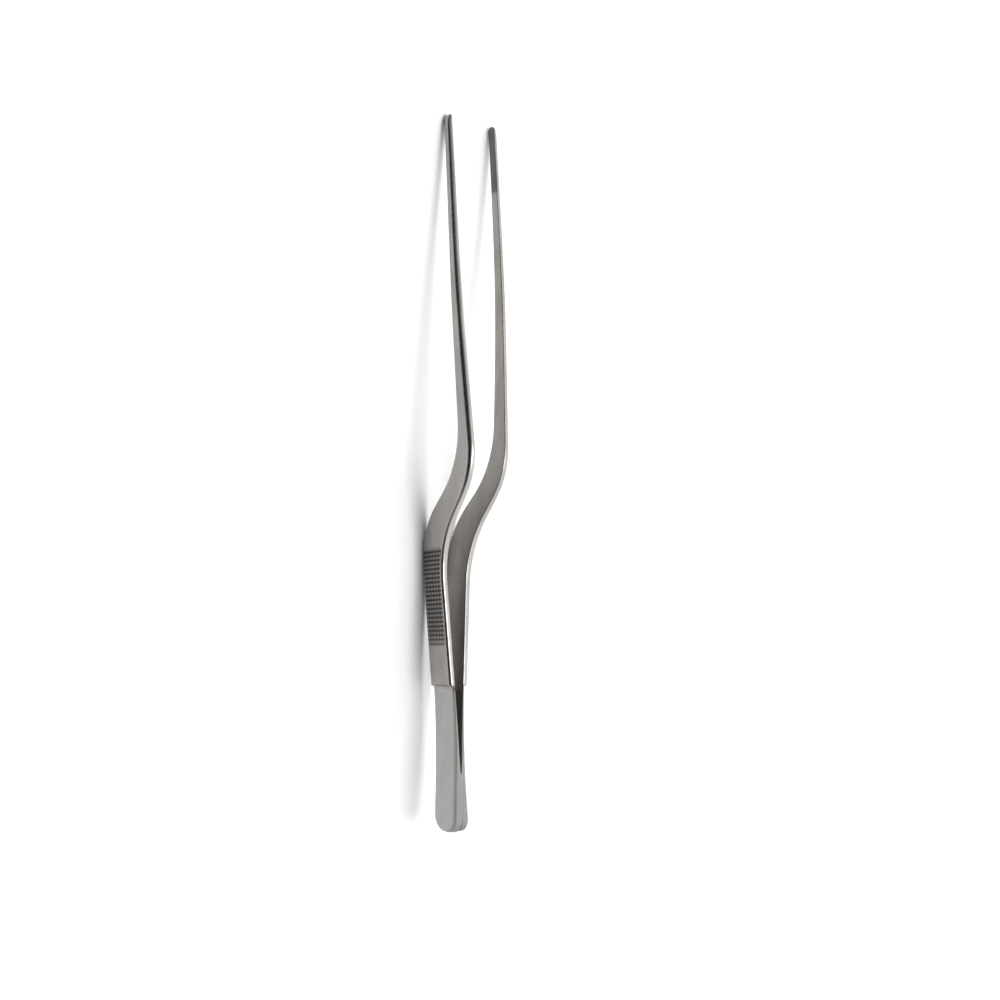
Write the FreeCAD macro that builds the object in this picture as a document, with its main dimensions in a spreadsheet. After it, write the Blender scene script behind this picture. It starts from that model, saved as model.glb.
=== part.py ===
import FreeCAD, Part
import math
import os
import Sketcher

# Bayonet tweezers in stainless steel, lying on a table on the lower edges of both grips and
# both tips. X runs from the heel to the tips, Y is the way the legs open, Z is up.
# Each leg is one forging and the right one mirrors the left. The two heel ends are welded
# together face to face. A leg is parted by a hairline at the middle of its spring leaf,
# where it bends when the tweezers are squeezed. Stations along X count from the heel end.

SIZES = [
    # name, millimetres or degrees, meaning
    ("length", 200.0, "heel end to tips"),
    # side view: the outline of a leg
    ("heel_lift", 10.3, "table to the lowest point of the heel end"),
    ("heel_width", 10.1, "heel end, bottom to top"),
    ("heel_corner", 4.4, "rounding of the two heel corners"),
    ("grip_x", 74.6, "station where the grip touches the table"),
    ("grip_width", 9.85, "table to the lowest point of the grip's upper edge"),
    ("grip_top_back", 2.15, "how far that point lies behind the contact"),
    ("bend_low_radius", 22.5, "lower edge of the bend in front of the grip"),
    ("bend_top_radius", 27.1, "upper edge of the same bend"),
    ("rise_low_angle", 41.4, "slope of the offset, lower edge"),
    ("rise_top_angle", 33.8, "slope of the offset, upper edge"),
    ("knee_low_x", 109.5, "station of the knee's lower arc centre"),
    ("knee_low_radius", 24.6, "lower edge of the knee"),
    ("knee_top_x", 104.0, "station of the knee's upper arc centre"),
    ("knee_top_radius", 19.9, "upper edge of the knee"),
    ("arm_bow_radius", 1450.0, "shallow bow of the arm's lower edge"),
    ("tip_radius", 1.33, "rounding of the tip, seen from the side"),
    # plan view: half gaps from the middle plane to a leg's inner face
    ("weld_length", 16.8, "heel end to the root of the gap"),
    ("weld_thickness", 0.3, "weld metal between the two heel ends"),
    ("leaf_x", 30.0, "station where the leaf has opened out"),
    ("leaf_gap", 0.75, "half gap there"),
    ("bend_x", 84.0, "station of the bend in front of the grip"),
    ("bend_gap", 4.06, "half gap there"),
    ("bow_back", 52.0, "tips back to the place where the arms turn parallel"),
    ("bow_gap", 7.13, "half gap there"),
    ("tip_gap", 7.34, "half gap at the tips"),
    ("bow_radius", 800.0, "how gently the arms turn parallel"),
    ("splay_radius", 500.0, "how gently the legs turn at the bend"),
    ("leaf_radius", 280.0, "how gently the leaf curves"),
    # thicknesses across the opening direction
    ("heel_thick", 2.65, "heel end"),
    ("root_thick", 1.8, "leaf at the root of the gap"),
    ("leaf_thick", 0.93, "leaf at its thin middle"),
    ("leaf_end_thick", 0.83, "leaf at the foot of the step"),
    ("handle_thick", 1.7, "handle at the top of the step"),
    ("bend_thick", 2.1, "bend in front of the grip"),
    ("bow_thick", 1.85, "arm where it turns parallel"),
    ("tip_thick", 1.5, "tip"),
    ("step_x", 39.3, "station of the step from leaf to handle"),
    ("step_ramp", 0.5, "length of the step's slope"),
    # rounded outer edges
    ("handle_round", 0.8, "outer edges of handle and arm"),
    ("leaf_round", 0.35, "outer edges of leaf and heel"),
    # grip rows and jaw teeth
    ("rows_x", 51.0, "station of the first grip row"),
    ("row_pitch", 1.2, "grip row to grip row"),
    ("row_depth", 0.25, "depth of a grip row"),
    ("row_angle", 8.7, "lean of the rows, square to the handle"),
    ("jaw_length", 19.5, "toothed length behind the tip"),
    ("tooth_pitch", 0.8, "jaw tooth to jaw tooth, square to the teeth"),
    ("tooth_depth", 0.2, "depth of a jaw groove"),
    ("tooth_angle", 50.0, "lean of the jaw teeth towards the tip"),
    # spring leaf
    ("flex_x", 28.0, "station where the leaf bends"),
    ("flex_slit", 0.1, "hairline between heel end and leg"),
]
ROW_COUNT = 22
MARGIN = 5.0          # how far cutting shapes stand outside the metal
GROOVE_SPREAD = 1.3   # half width of a groove at twice its depth, as a share of its depth
ROUND_SHARE = 0.62    # largest rounding, as a share of the wall beside it
CORNER_SHARE = 0.44   # largest heel corner, as a share of the heel end's height
ROOT_REACH = 0.33     # how far the rounding at the gap's root may run along the root stretch
LEAF_REACH = 0.6      # how far the rounding at the leaf's middle may run back along it
FOOT_REACH = 0.85     # and how far on towards the foot of the step
BLOCK_SPAN = 4        # width and height of a parting block, in heel widths
SIDE_FACE = 0.1       # largest Y part of a narrow side face's normal
OUTER_FACE = 0.9      # least Y part of the outer face's normal

doc = FreeCAD.newDocument("tweezers")
sheet = doc.addObject("Spreadsheet::Sheet", "sizes")


class Size:
    """A value together with the sheet formula that gives it."""

    def __init__(self, value, formula):
        self.value = float(value)
        self.formula = formula

    @staticmethod
    def of(other):
        return other if isinstance(other, Size) else Size(other, repr(float(other)))

    def __add__(self, other):
        other = Size.of(other)
        return Size(self.value + other.value, f"({self.formula} + {other.formula})")

    def __sub__(self, other):
        other = Size.of(other)
        return Size(self.value - other.value, f"({self.formula} - {other.formula})")

    def __mul__(self, other):
        other = Size.of(other)
        return Size(self.value * other.value, f"({self.formula} * {other.formula})")

    def __truediv__(self, other):
        other = Size.of(other)
        return Size(self.value / other.value, f"({self.formula} / {other.formula})")

    def __abs__(self):
        return Size(abs(self.value), f"abs({self.formula})")

    def at_most(self, limit):
        """This size, or the limit where that is less."""
        return Size(min(self.value, limit.value), f"min({self.formula}; {limit.formula})")


def fill_sheet():
    """Write the driving dimensions to the sheet and return them by name."""
    named = {}
    for row, (name, value, meaning) in enumerate(SIZES, start=1):
        sheet.set(f"A{row}", meaning)
        sheet.set(f"B{row}", str(value))
        sheet.setAlias(f"B{row}", name)
        named[name] = Size(value, f"sizes.{name}")
    doc.recompute()
    return named


S = fill_sheet()


def mix(start, end, share):
    """A size between two others."""
    return start + (end - start) * share


def heel_corner():
    """Rounding of the heel corners, limited by the height of the heel end."""
    return S["heel_corner"].at_most(S["heel_width"] * CORNER_SHARE)


def inner_gap(station):
    """Half gap at a station of the straight run between leaf and bend."""
    return mix(S["leaf_gap"], S["bend_gap"], (station - S["leaf_x"]) / (S["bend_x"] - S["leaf_x"]))


def plane_of(body, role):
    return [item for item in body.Origin.OriginFeatures if item.Role == role][0]


def direction(angle):
    return FreeCAD.Vector(math.cos(angle), math.sin(angle), 0)


def left_of(way):
    return FreeCAD.Vector(-way.y, way.x, 0)


class Outline:
    """Closed loops of straight and round stretches in one sketch of a body."""

    def __init__(self, body, name, role):
        self.sketch = body.newObject("Sketcher::SketchObject", name)
        self.sketch.AttachmentSupport = (plane_of(body, role), [""])
        self.sketch.MapMode = "FlatFace"
        self.loop = []

    def line(self, start, end):
        index = self.sketch.addGeometry(Part.LineSegment(start, end), False)
        self.loop.append((index, 1, 2))
        return index

    def arc(self, centre, start, end, left_turn=True):
        """An arc from start to end, turning left or right on the way."""
        first, last = (start, end) if left_turn else (end, start)
        angle_first = math.atan2(first.y - centre.y, first.x - centre.x)
        angle_last = math.atan2(last.y - centre.y, last.x - centre.x)
        if angle_last < angle_first:
            angle_last += 2 * math.pi
        circle = Part.Circle(centre, FreeCAD.Vector(0, 0, 1), (first - centre).Length)
        index = self.sketch.addGeometry(Part.ArcOfCircle(circle, angle_first, angle_last), False)
        self.loop.append((index, 1, 2) if left_turn else (index, 2, 1))
        return index

    def bind(self, constraint, name, size):
        """Add a dimension and tie it to the sheet."""
        index = self.sketch.addConstraint(constraint)
        self.sketch.renameConstraint(index, name)
        self.sketch.setExpression(f"Constraints.{name}", size.formula)

    def radius(self, index, name, size):
        self.bind(Sketcher.Constraint("Radius", index, size.value), name, size)

    def place(self, index, position, name, x=None, y=None):
        """Dimension a point of a piece from the sketch's origin."""
        if x is not None:
            self.bind(Sketcher.Constraint("DistanceX", -1, 1, index, position, x.value), name + "_x", x)
        if y is not None:
            self.bind(Sketcher.Constraint("DistanceY", -1, 1, index, position, y.value), name + "_y", y)

    def close(self, smooth):
        """Join the loop's pieces end to end; smooth lists the joints that are tangent."""
        for number, (index, _, end) in enumerate(self.loop):
            following, start, _ = self.loop[(number + 1) % len(self.loop)]
            kind = "Tangent" if number in smooth else "Coincident"
            self.sketch.addConstraint(Sketcher.Constraint(kind, index, end, following, start))
        self.loop = []

    def rounded(self, name, corners):
        """A closed loop through corners (x, y, radius or None), rounded where a radius is given."""
        points = [FreeCAD.Vector(x.value, y.value, 0) for x, y, _ in corners]
        count = len(corners)
        entries, exits, centres = [], [], []
        for number, (_, _, radius) in enumerate(corners):
            here = points[number]
            back = (points[number - 1] - here).normalize()
            ahead = (points[(number + 1) % count] - here).normalize()
            if radius is None:
                entries.append(here)
                exits.append(here)
                centres.append(None)
                continue
            half_angle = back.getAngle(ahead) / 2
            reach = radius.value / math.tan(half_angle)
            entries.append(here + back * reach)
            exits.append(here + ahead * reach)
            centres.append(here + (back + ahead).normalize() * (radius.value / math.sin(half_angle)))
        smooth, lines = set(), []
        for number in range(count):
            following = (number + 1) % count
            lines.append(self.line(exits[number], entries[following]))
            if centres[following] is not None:
                turn = (points[following] - points[number]).cross(
                    points[(following + 1) % count] - points[following]).z
                smooth.add(len(self.loop) - 1)
                arc = self.arc(centres[following], entries[following], exits[following], turn > 0)
                smooth.add(len(self.loop) - 1)
                self.radius(arc, f"{name}_radius_{following}", corners[following][2])
        self.close(smooth)
        for number, (x, y, radius) in enumerate(corners):
            label = f"{name}_{number}"
            if radius is None:
                self.place(lines[number], 1, label, x, y)
                continue
            corner = self.sketch.addGeometry(Part.Point(points[number]), True)
            self.sketch.addConstraint(Sketcher.Constraint("PointOnObject", corner, 1, lines[number]))
            self.sketch.addConstraint(Sketcher.Constraint("PointOnObject", corner, 1, lines[number - 1]))
            self.place(corner, 1, label, x, y)


def common_tangent(centre_a, reach_a, centre_b, reach_b):
    """Ends of the line along two circles; reach is the radius, negative for one on the right."""
    across = centre_b - centre_a
    way = direction(math.atan2(across.y, across.x) - math.asin((reach_b - reach_a) / across.Length))
    return centre_a - left_of(way) * reach_a, centre_b - left_of(way) * reach_b


def meet(centre_a, radius_a, centre_b, radius_b):
    """The lower crossing of two circles."""
    across = centre_b - centre_a
    along = (radius_a ** 2 - radius_b ** 2 + across.Length ** 2) / (2 * across.Length)
    aside = math.sqrt(radius_a ** 2 - along ** 2)
    way = FreeCAD.Vector(across).normalize()
    return centre_a + way * along - left_of(way) * aside


def side_outline(body):
    """The leg's outline seen along Y: heel end, handle, bend, offset, knee, arm and tip."""
    size = {name: item.value for name, item in S.items()}
    low_radius, top_radius = size["bend_low_radius"], size["bend_top_radius"]
    knee_low, knee_top = size["knee_low_radius"], size["knee_top_radius"]
    bow, tip, corner = size["arm_bow_radius"], size["tip_radius"], heel_corner().value

    heel_low = FreeCAD.Vector(corner, size["heel_lift"] + corner, 0)
    heel_top = FreeCAD.Vector(corner, size["heel_lift"] + size["heel_width"] - corner, 0)
    bend_low = FreeCAD.Vector(size["grip_x"], low_radius, 0)
    bend_top = FreeCAD.Vector(size["grip_x"] - size["grip_top_back"], size["grip_width"] + top_radius, 0)
    tip_centre = FreeCAD.Vector(size["length"] - tip, tip, 0)

    climb = direction(math.radians(size["rise_low_angle"]))
    rise_start = bend_low - left_of(climb) * low_radius
    line_to_centre = rise_start - left_of(climb) * knee_low
    knee_low_centre = line_to_centre + climb * ((size["knee_low_x"] - line_to_centre.x) / climb.x)
    rise_end = knee_low_centre + left_of(climb) * knee_low
    bow_centre = meet(knee_low_centre, bow - knee_low, tip_centre, bow + tip)
    arm_start = bow_centre + (knee_low_centre - bow_centre).normalize() * bow
    arm_end = tip_centre + (bow_centre - tip_centre).normalize() * tip

    descent = direction(math.radians(180 + size["rise_top_angle"]))
    line_to_centre = bend_top + left_of(descent) * (top_radius + knee_top)
    knee_top_centre = line_to_centre + descent * ((size["knee_top_x"] - line_to_centre.x) / descent.x)
    fall_start = knee_top_centre - left_of(descent) * knee_top
    fall_end = bend_top + left_of(descent) * top_radius

    handle_low = common_tangent(heel_low, corner, bend_low, low_radius)
    arm_top = common_tangent(tip_centre, tip, knee_top_centre, knee_top)
    handle_top = common_tangent(bend_top, -top_radius, heel_top, corner)
    end_top = heel_top - FreeCAD.Vector(corner, 0, 0)
    end_low = heel_low - FreeCAD.Vector(corner, 0, 0)

    outline = Outline(body, "leg_side", "XZ_Plane")
    outline.line(handle_low[0], handle_low[1])
    bend_low_arc = outline.arc(bend_low, handle_low[1], rise_start)
    rise = outline.line(rise_start, rise_end)
    knee_low_arc = outline.arc(knee_low_centre, rise_end, arm_start, left_turn=False)
    bow_arc = outline.arc(bow_centre, arm_start, arm_end, left_turn=False)
    tip_arc = outline.arc(tip_centre, arm_end, arm_top[0])
    outline.line(arm_top[0], arm_top[1])
    knee_top_arc = outline.arc(knee_top_centre, arm_top[1], fall_start)
    fall = outline.line(fall_start, fall_end)
    bend_top_arc = outline.arc(bend_top, fall_end, handle_top[0], left_turn=False)
    outline.line(handle_top[0], handle_top[1])
    heel_top_arc = outline.arc(heel_top, handle_top[1], end_top)
    heel_end = outline.line(end_top, end_low)
    heel_low_arc = outline.arc(heel_low, end_low, handle_low[0])
    outline.close(smooth=range(len(outline.loop)))

    outline.radius(bend_low_arc, "bend_low", S["bend_low_radius"])
    outline.radius(knee_low_arc, "knee_low", S["knee_low_radius"])
    outline.radius(bow_arc, "bow", S["arm_bow_radius"])
    outline.radius(tip_arc, "tip", S["tip_radius"])
    outline.radius(knee_top_arc, "knee_top", S["knee_top_radius"])
    outline.radius(bend_top_arc, "bend_top", S["bend_top_radius"])
    outline.radius(heel_top_arc, "heel_top", heel_corner())
    outline.radius(heel_low_arc, "heel_low", heel_corner())
    outline.sketch.addConstraint(Sketcher.Constraint("PointOnObject", heel_end, 1, -2))
    outline.sketch.addConstraint(Sketcher.Constraint("Vertical", heel_end))
    outline.place(bend_low_arc, 3, "bend_low_at", S["grip_x"], S["bend_low_radius"])
    outline.place(bend_top_arc, 3, "bend_top_at", S["grip_x"] - S["grip_top_back"],
                  S["grip_width"] + S["bend_top_radius"])
    outline.place(tip_arc, 3, "tip_at", S["length"] - S["tip_radius"], S["tip_radius"])
    outline.place(heel_low_arc, 3, "heel_low_at", None, S["heel_lift"] + heel_corner())
    outline.place(heel_top_arc, 3, "heel_top_at", None,
                  S["heel_lift"] + S["heel_width"] - heel_corner())
    outline.place(knee_low_arc, 3, "knee_low_at", S["knee_low_x"])
    outline.place(knee_top_arc, 3, "knee_top_at", S["knee_top_x"])
    outline.bind(Sketcher.Constraint("Angle", rise, math.radians(size["rise_low_angle"])),
                 "rise_low", S["rise_low_angle"])
    outline.bind(Sketcher.Constraint("Angle", -1, 1, fall, 2, math.radians(size["rise_top_angle"])),
                 "rise_top", S["rise_top_angle"])
    return outline.sketch


def gentle(radius, turn, *rooms):
    """A shallow rounding, limited so that it stays in the room along the walls beside it.

    turn is the change of slope at the corner, and each room is a length of wall.
    """
    for room in rooms:
        radius = radius.at_most(room * 2 / abs(turn))
    return radius


def plan_waste(body):
    """What is cut away in plan view: the gap between the legs, and all outside the outer face."""
    out = Size.of(MARGIN)
    behind, ahead = Size.of(-MARGIN), S["length"] + out
    seam = S["weld_thickness"] / 2
    bow_x = S["length"] - S["bow_back"]
    foot_x, top_x = S["step_x"], S["step_x"] + S["step_ramp"]
    outside = S["tip_gap"] + S["tip_thick"] + out
    heel_end = seam + S["heel_thick"]
    root = seam + S["root_thick"]
    heel_behind = heel_end + (heel_end - root) * (out / S["weld_length"])
    leaf = S["leaf_gap"] + S["leaf_thick"]
    foot = inner_gap(foot_x) + S["leaf_end_thick"]
    heel_slope = (root - heel_end) / S["weld_length"]
    root_slope = (leaf - root) / (S["leaf_x"] - S["weld_length"])
    leaf_slope = (foot - leaf) / (foot_x - S["leaf_x"])
    root_room = (S["leaf_x"] - S["weld_length"]) * ROOT_REACH
    back_room = (S["leaf_x"] - S["weld_length"]) * LEAF_REACH
    foot_room = (foot_x - S["leaf_x"]) * FOOT_REACH
    root_radius = gentle(S["leaf_radius"], root_slope - heel_slope, root_room)
    leaf_radius = gentle(S["leaf_radius"], leaf_slope - root_slope, back_room, foot_room)

    cut = Outline(body, "leg_plan", "XY_Plane")
    cut.rounded("inner", [
        (behind, behind, None),
        (ahead, behind, None),
        (ahead, S["tip_gap"], None),
        (bow_x, S["bow_gap"], S["bow_radius"]),
        (S["bend_x"], S["bend_gap"], S["splay_radius"]),
        (S["leaf_x"], S["leaf_gap"], S["leaf_radius"]),
        (S["weld_length"], seam, None),
        (behind, seam, None),
    ])
    cut.rounded("outer", [
        (behind, heel_behind, None),
        (S["weld_length"], root, root_radius),
        (S["leaf_x"], leaf, leaf_radius),
        (foot_x, foot, None),
        (top_x, inner_gap(top_x) + S["handle_thick"], None),
        (S["bend_x"], S["bend_gap"] + S["bend_thick"], S["splay_radius"]),
        (bow_x, S["bow_gap"] + S["bow_thick"], S["bow_radius"]),
        (ahead, S["tip_gap"] + S["tip_thick"], None),
        (ahead, outside, None),
        (behind, outside, None),
    ])
    return cut.sketch


def outer_rim(shape, from_x, to_x):
    """Names of the edges where the outer face meets the narrow sides, between two stations."""
    names = []
    for number, edge in enumerate(shape.Edges, start=1):
        middle = edge.valueAt((edge.FirstParameter + edge.LastParameter) / 2)
        if not from_x < middle.x < to_x:
            continue
        faces = shape.ancestorsOfType(edge, Part.Face)
        across = sorted(abs(face.normalAt(*face.Surface.parameter(middle)).y) for face in faces)
        outward = max(face.normalAt(*face.Surface.parameter(middle)).y for face in faces)
        if across[0] < SIDE_FACE and outward > OUTER_FACE:
            names.append(f"Edge{number}")
    return names


def through_cut(body, name, sketch):
    """Pocket a sketch right through the body, both ways."""
    before = body.Shape.Volume
    pocket = body.newObject("PartDesign::Pocket", name)
    pocket.Profile = sketch
    pocket.Type = "ThroughAll"
    pocket.Midplane = True
    doc.recompute()
    if not body.Shape.Volume < before:
        raise RuntimeError(f"{name} cuts nothing")


def round_rim(body, name, radius, wall, from_x, to_x):
    """Round the outer rim between two stations, by no more than most of the wall beside it."""
    base = body.Tip
    rim = outer_rim(base.Shape, from_x, to_x)
    fillet = body.newObject("PartDesign::Fillet", name)
    fillet.Base = (base, rim)
    fitted = radius.at_most(wall * ROUND_SHARE)
    fillet.Radius = fitted.value
    fillet.setExpression("Radius", fitted.formula)
    doc.recompute()


def groove_rows(body, name, lean, first, pitch, count, face, depth):
    """V grooves side by side across a face, each leaning towards the tips as it rises.

    first is the station and height of the first groove, face gives the face's distance from
    the middle plane at a station, and depth is negative on a face that looks outwards.
    """
    cut = Outline(body, name + "_plan", "XY_Plane")
    tilt = FreeCAD.Rotation(FreeCAD.Vector(0, 1, 0), lean)
    cut.sketch.AttachmentOffset = FreeCAD.Placement(FreeCAD.Vector(), tilt)
    slope = math.radians(lean)
    start = first.x * math.cos(slope) - first.z * math.sin(slope)
    for number in range(count):
        middle = start + number * pitch
        surface = face(first.x + number * pitch / math.cos(slope))
        bottom = FreeCAD.Vector(middle, surface + depth, 0)
        near = FreeCAD.Vector(middle - abs(depth) * GROOVE_SPREAD, surface - depth, 0)
        far = FreeCAD.Vector(middle + abs(depth) * GROOVE_SPREAD, surface - depth, 0)
        cut.line(near, bottom)
        cut.line(bottom, far)
        cut.line(far, near)
        cut.close(smooth=())
    through_cut(body, name, cut.sketch)


def cut_grip_rows(body):
    """Rows across the outer face of the handle, square to it, for the fingers."""
    rows_x = S["rows_x"].value
    heel_height = S["heel_lift"].value + S["heel_width"].value / 2
    fall = (heel_height - S["grip_width"].value / 2) / S["grip_x"].value
    top_x = S["step_x"] + S["step_ramp"]
    top = (inner_gap(top_x) + S["handle_thick"]).value
    widening = ((S["bend_gap"] + S["bend_thick"]).value - top) / (S["bend_x"] - top_x).value

    def handle_face(station):
        return top + widening * (station - top_x.value)

    groove_rows(body, "grip_rows", S["row_angle"].value,
                FreeCAD.Vector(rows_x, 0, heel_height - fall * rows_x),
                S["row_pitch"].value, ROW_COUNT, handle_face, -S["row_depth"].value)


def cut_jaw_teeth(body, arm_slope):
    """Slanting teeth on the inner face of the jaw, from its root to the tip."""
    length, jaw = S["length"].value, S["jaw_length"].value
    lean = math.radians(S["tooth_angle"].value)
    first = FreeCAD.Vector(length - jaw, 0, S["tip_radius"].value + jaw * arm_slope)
    reach = jaw * math.cos(lean) + (first.z - S["tip_radius"].value) * math.sin(lean)
    bow_gap, tip_gap = S["bow_gap"].value, S["tip_gap"].value
    bow_x = length - S["bow_back"].value

    def jaw_face(station):
        return bow_gap + (tip_gap - bow_gap) * (min(station, length) - bow_x) / (length - bow_x)

    groove_rows(body, "jaw_teeth", S["tooth_angle"].value, first, S["tooth_pitch"].value,
                int(reach / S["tooth_pitch"].value) + 1, jaw_face, S["tooth_depth"].value)


def leg_forging():
    """One whole leg, heel end to tip, before the hairline parts it."""
    body = doc.addObject("PartDesign::Body", "leg_forging")
    outline = side_outline(body)
    blank = body.newObject("PartDesign::Pad", "blank")
    blank.Profile = outline
    blank_width = S["tip_gap"] + S["tip_thick"] + S["bend_thick"]
    blank.Length = blank_width.value
    blank.setExpression("Length", blank_width.formula)
    blank.Reversed = True
    doc.recompute()
    if blank.Shape.BoundBox.YMax < blank_width.value / 2:
        raise RuntimeError("the blank was padded the wrong way")
    arm = [edge for edge in outline.Shape.Edges if edge.BoundBox.Center.x > S["knee_low_x"].value
           and isinstance(edge.Curve, Part.Line)][0]
    arm_slope = arm.BoundBox.ZLength / arm.BoundBox.XLength
    through_cut(body, "plan_cut", plan_waste(body))
    step_x, length = S["step_x"].value, S["length"].value
    round_rim(body, "handle_rim", S["handle_round"], S["tip_radius"], step_x, length + MARGIN)
    round_rim(body, "leaf_rim", S["leaf_round"], S["leaf_end_thick"], -MARGIN, step_x)
    cut_grip_rows(body)
    cut_jaw_teeth(body, arm_slope)
    return body


def weld_sheet():
    """A thin sheet of the leg's outline in the middle plane, of which the weld is the heel end."""
    body = doc.addObject("PartDesign::Body", "weld_sheet")
    layer = body.newObject("PartDesign::Pad", "layer")
    layer.Profile = side_outline(body)
    layer.Midplane = True
    layer.Length = S["weld_thickness"].value
    layer.setExpression("Length", S["weld_thickness"].formula)
    doc.recompute()
    return body


def block(name, start, end):
    """A box round everything between two stations."""
    box = doc.addObject("Part::Box", name)
    span = S["heel_width"] * BLOCK_SPAN
    box.Length = (end - start).value
    box.setExpression("Length", (end - start).formula)
    box.Width = span.value
    box.setExpression("Width", span.formula)
    box.Height = span.value
    box.setExpression("Height", span.formula)
    box.setExpression("Placement.Base.x", start.formula)
    box.setExpression("Placement.Base.y", (span / -2).formula)
    box.setExpression("Placement.Base.z", (S["heel_width"] * -1).formula)
    return box


def piece(name, whole, part_block):
    """The part of a body inside a block, moved so that the middle of the length is the origin."""
    common = doc.addObject("Part::Common", name)
    common.Label = name
    common.Base = whole
    common.Tool = part_block
    common.setExpression("Placement.Base.x", "-sizes.length / 2")
    return common


def mirror(name, source):
    """The opposite leg's piece, across the middle plane."""
    other = doc.addObject("Part::Mirroring", name)
    other.Label = name
    other.Source = source
    other.Normal = FreeCAD.Vector(0, 1, 0)
    return other


def build():
    """The sub-parts by name: two heel ends, two legs and the weld."""
    forging = leg_forging()
    behind = Size.of(-MARGIN)
    slit = S["flex_slit"] / 2
    heel_block = block("heel_block", behind, S["flex_x"] - slit)
    leg_block = block("leg_block", S["flex_x"] + slit, S["length"] + MARGIN)
    weld_block = block("weld_block", behind, S["weld_length"])
    left_heel = piece("left_heel", forging, heel_block)
    left_leg = piece("left_leg", forging, leg_block)
    right_heel = mirror("right_heel", left_heel)
    right_leg = mirror("right_leg", left_leg)
    heel_weld = piece("heel_weld", weld_sheet(), weld_block)
    doc.recompute()
    return [left_heel, left_leg, right_heel, right_leg, heel_weld]


def check(pieces):
    """Stop on any failed object or bad solid."""
    for item in doc.Objects:
        if "Invalid" in item.State or "Error" in item.State:
            raise RuntimeError(f"{item.Name} failed: {item.State}")
    for item in pieces:
        shape = item.Shape
        if shape.isNull() or not shape.isValid() or len(shape.Solids) != 1:
            raise RuntimeError(f"{item.Label} is not one valid solid")


def write(pieces):
    os.makedirs("parts", exist_ok=True)
    for item in pieces:
        item.Shape.exportStep(f"parts/{item.Label}.step")
        box = item.Shape.BoundBox
        print(f"{item.Label}: {item.Shape.Volume:.1f} mm3, "
              f"{box.XLength:.1f} x {box.YLength:.1f} x {box.ZLength:.1f} mm")


sub_parts = build()
check(sub_parts)
write(sub_parts)
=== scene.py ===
import math

import bpy
from mathutils import Matrix, Vector
from mathutils.bvhtree import BVHTree


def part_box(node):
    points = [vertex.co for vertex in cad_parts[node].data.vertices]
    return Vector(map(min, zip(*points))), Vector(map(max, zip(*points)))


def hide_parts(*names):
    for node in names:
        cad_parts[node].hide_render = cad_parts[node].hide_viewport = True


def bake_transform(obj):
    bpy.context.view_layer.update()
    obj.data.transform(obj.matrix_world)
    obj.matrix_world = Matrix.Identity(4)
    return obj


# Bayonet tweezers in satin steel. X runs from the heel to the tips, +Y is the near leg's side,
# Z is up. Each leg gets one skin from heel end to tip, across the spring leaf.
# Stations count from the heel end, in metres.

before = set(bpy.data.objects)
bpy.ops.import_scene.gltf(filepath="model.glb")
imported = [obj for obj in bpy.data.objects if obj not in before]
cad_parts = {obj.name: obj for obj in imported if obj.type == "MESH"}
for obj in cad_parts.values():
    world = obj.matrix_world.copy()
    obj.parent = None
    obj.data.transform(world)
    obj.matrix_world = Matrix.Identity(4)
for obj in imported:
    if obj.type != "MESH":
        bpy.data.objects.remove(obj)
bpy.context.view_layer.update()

MM = 0.001
HEEL_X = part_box("left_heel")[0].x
TIP_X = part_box("left_leg")[1].x
LENGTH = TIP_X - HEEL_X
FLEX_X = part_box("left_leg")[0].x - HEEL_X

# the leg's main stations
WELD_LENGTH = 16.8 * MM
STEP_X = 39.3 * MM
ROWS_X = 51.0 * MM           # the middle of the first grip row
JAW_LENGTH = 19.5 * MM
JAW_X = LENGTH - JAW_LENGTH

# grip rows
ROW_PITCH = 1.2 * MM
ROW_COUNT = 22
ROW_LEAN = math.radians(8.7)
ROW_STEP = ROW_PITCH / math.cos(ROW_LEAN)
ROWS_END = ROWS_X + (ROW_COUNT - 0.5) * ROW_STEP
ROW_DEPTH = 0.26 * MM
ROW_HALF = 0.34 * MM
FAINT_ROWS = 3               # the rows nearest the step are worn shallow
FAINTEST = 0.35              # share of a full row's depth that the wear starts from, one row before
ROW_FADE = (0.75, 1.15)      # rows fade in over these shares of the edge rounding's reach
NICK_PITCH = 1.40 * MM
NICK_DEPTH = 0.24 * MM
NICK_HALF = 0.40 * MM
NICK_LEAN = math.radians(30)

# jaw teeth
TOOTH_PITCH = 0.8 * MM
TOOTH_DEPTH = 0.20 * MM
TOOTH_SHARE = 0.74           # share of the pitch that a groove between two teeth takes
TOOTH_LEAN = math.radians(50)

# reading the CAD solids
SAMPLE = 0.5 * MM            # distance between the rays that read the outline
SMOOTHING = 1.1 * MM         # evens out the facets of the CAD mesh
THIN_METAL = SAMPLE / 4      # a ray that crosses less metal than this has missed the leg
EDGE_RAY_SHARE = 0.35        # edges are read this share of the thickness out from the inner face
HAIRLINE_REACH = 2 * MM      # the faces are drawn straight this far either side of the hairline
TIP_WIDTH_AT = 1.3 * MM      # the tip's end is as round as the leg is wide this far from it

# stretches of the CAD outline whose line is drawn on past them, each as distances from the
# heel end, step, jaw root or tip that it is named after
HEEL_EDGES = (7 * MM, 14 * MM)
HEEL_INNER = (4 * MM, 10 * MM)
HEEL_OUTER = (3 * MM, 8 * MM)
STEP_LEAF = (3 * MM, 1 * MM)
STEP_HANDLE = 3 * MM
ROWS_HANDLE = 2 * MM
ROWS_MARGIN = 1.5 * MM       # the handle is straight this far past the rows
JAW_INNER = (9 * MM, 1.5 * MM)
TIP_OUTER = (12 * MM, 4 * MM)
TIP_EDGES = (14 * MM, 4 * MM)

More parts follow.
